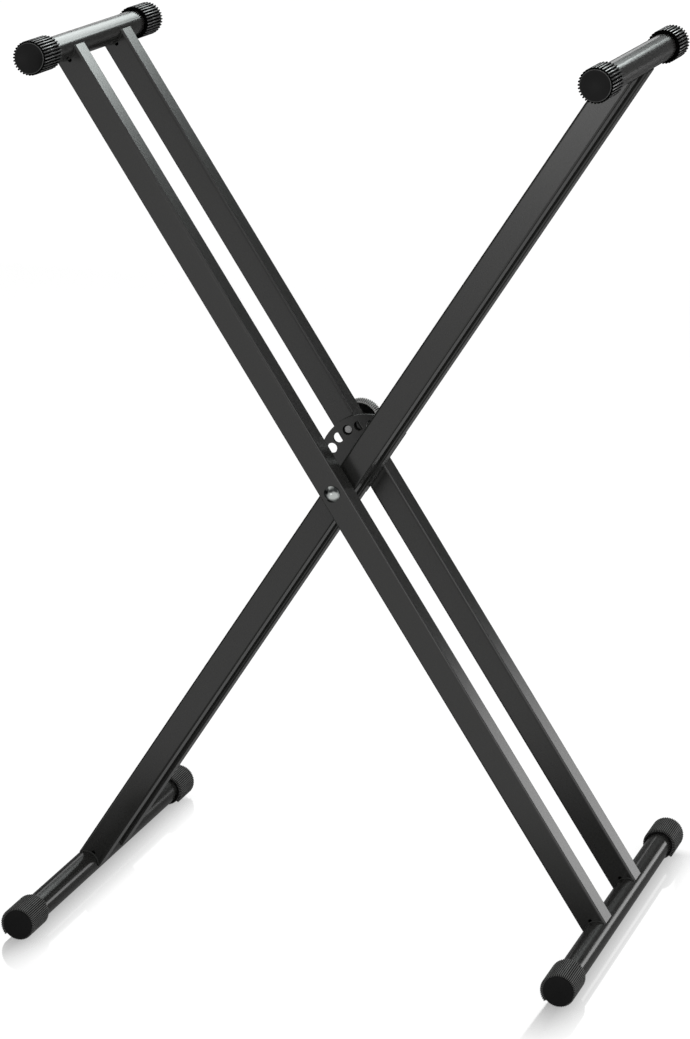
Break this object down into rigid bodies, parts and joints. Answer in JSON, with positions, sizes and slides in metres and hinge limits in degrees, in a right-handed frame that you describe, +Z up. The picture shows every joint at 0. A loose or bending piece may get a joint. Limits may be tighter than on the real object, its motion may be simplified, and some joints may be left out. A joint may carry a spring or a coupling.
{
  "type": "folding keyboard stand",
  "caption": "Double-braced X-shaped folding stand of square and round tube for a keyboard, with a pull-knob lock on a perforated plate and levelling end caps.",
  "frame": {"origin": "on the floor under the pivot bolt, half way between the outer legs", "axes": "+Z up, +Y along the round rails from the bolt head's side to the lock knob's side, +X across the stand towards the outer frame's foot rail"},
  "size_m": [0.5686, 0.448, 0.8535],
  "materials": {
    "frame_coat": "satin powder coat",
    "plate_coat": "satin powder coat",
    "cap_rubber": "moulded, satin",
    "knob_plastic": "moulded, ribbed",
    "washer_plastic": "smooth",
    "bush_plastic": "smooth",
    "bright_steel": "bright plated",
    "zinc_steel": "zinc plated",
    "spring_steel": "spring wire"
  },
  "bodies": {
    "outer_frame": {"front_spacing_washer": "washer_plastic", "lock_guide_bush": "bush_plastic", "lock_guide_collar": "bush_plastic", "lock_spring": "spring_steel", "outer_foot_rail": "frame_coat", "outer_leg_back": "frame_coat", "outer_leg_front": "frame_coat", "outer_sleeve_back": "zinc_steel", "outer_sleeve_front": "zinc_steel", "outer_top_cap_back": "cap_rubber", "outer_top_cap_front": "cap_rubber", "outer_top_rail": "frame_coat", "pivot_bolt": "bright_steel", "pivot_nut": "bright_steel", "pivot_nut_washer": "zinc_steel", "rear_spacing_washer": "zinc_steel"},
    "inner_frame": {"inner_leg_front": "frame_coat", "inner_leg_back": "frame_coat", "inner_top_rail": "frame_coat", "inner_foot_rail": "frame_coat", "inner_bush_front": "bush_plastic", "inner_bush_back": "bush_plastic", "inner_spacer_tube": "zinc_steel", "lock_plate": "plate_coat", "inner_top_cap_front": "cap_rubber", "inner_top_cap_back": "cap_rubber"},
    "lock_plunger": {"lock_pin": "bright_steel", "lock_knob": "knob_plastic", "lock_knob_nut": "bright_steel", "lock_retaining_clip": "zinc_steel", "lock_spring_washer": "zinc_steel"},
    "inner_foot_cap_back": {"inner_foot_cap_back": "cap_rubber"},
    "inner_foot_cap_front": {"inner_foot_cap_front": "cap_rubber"},
    "outer_foot_cap_back": {"outer_foot_cap_back": "cap_rubber"},
    "outer_foot_cap_front": {"outer_foot_cap_front": "cap_rubber"}
  },
  "joints": [
    {"name": "fold", "type": "hinge", "parent": "outer_frame", "child": "inner_frame", "pos_m": [0, 0, 0.42648], "axis": [0, 1, 0], "range_deg": [-61, 36]},
    {"name": "lock_pull", "type": "slide", "parent": "outer_frame", "child": "lock_plunger", "axis": [0, -1, 0], "range_m": [-0.002, 0.005], "stiffness_N_per_m": 600, "springref_m": 0.007, "deforming": ["lock_spring"]},
    {"name": "inner_foot_level_back", "type": "hinge", "parent": "inner_frame", "child": "inner_foot_cap_back", "pos_m": [-0.26687, 0, 0.01553], "axis": [0, 1, 0], "range_deg": [-180, 180]},
    {"name": "inner_foot_level_front", "type": "hinge", "parent": "inner_frame", "child": "inner_foot_cap_front", "pos_m": [-0.26687, 0, 0.01553], "axis": [0, 1, 0], "range_deg": [-180, 180]},
    {"name": "outer_foot_level_back", "type": "hinge", "parent": "outer_frame", "child": "outer_foot_cap_back", "pos_m": [0.26687, 0, 0.01553], "axis": [0, 1, 0], "range_deg": [-180, 180]},
    {"name": "outer_foot_level_front", "type": "hinge", "parent": "outer_frame", "child": "outer_foot_cap_front", "pos_m": [0.26687, 0, 0.01553], "axis": [0, 1, 0], "range_deg": [-180, 180]}
  ]
}
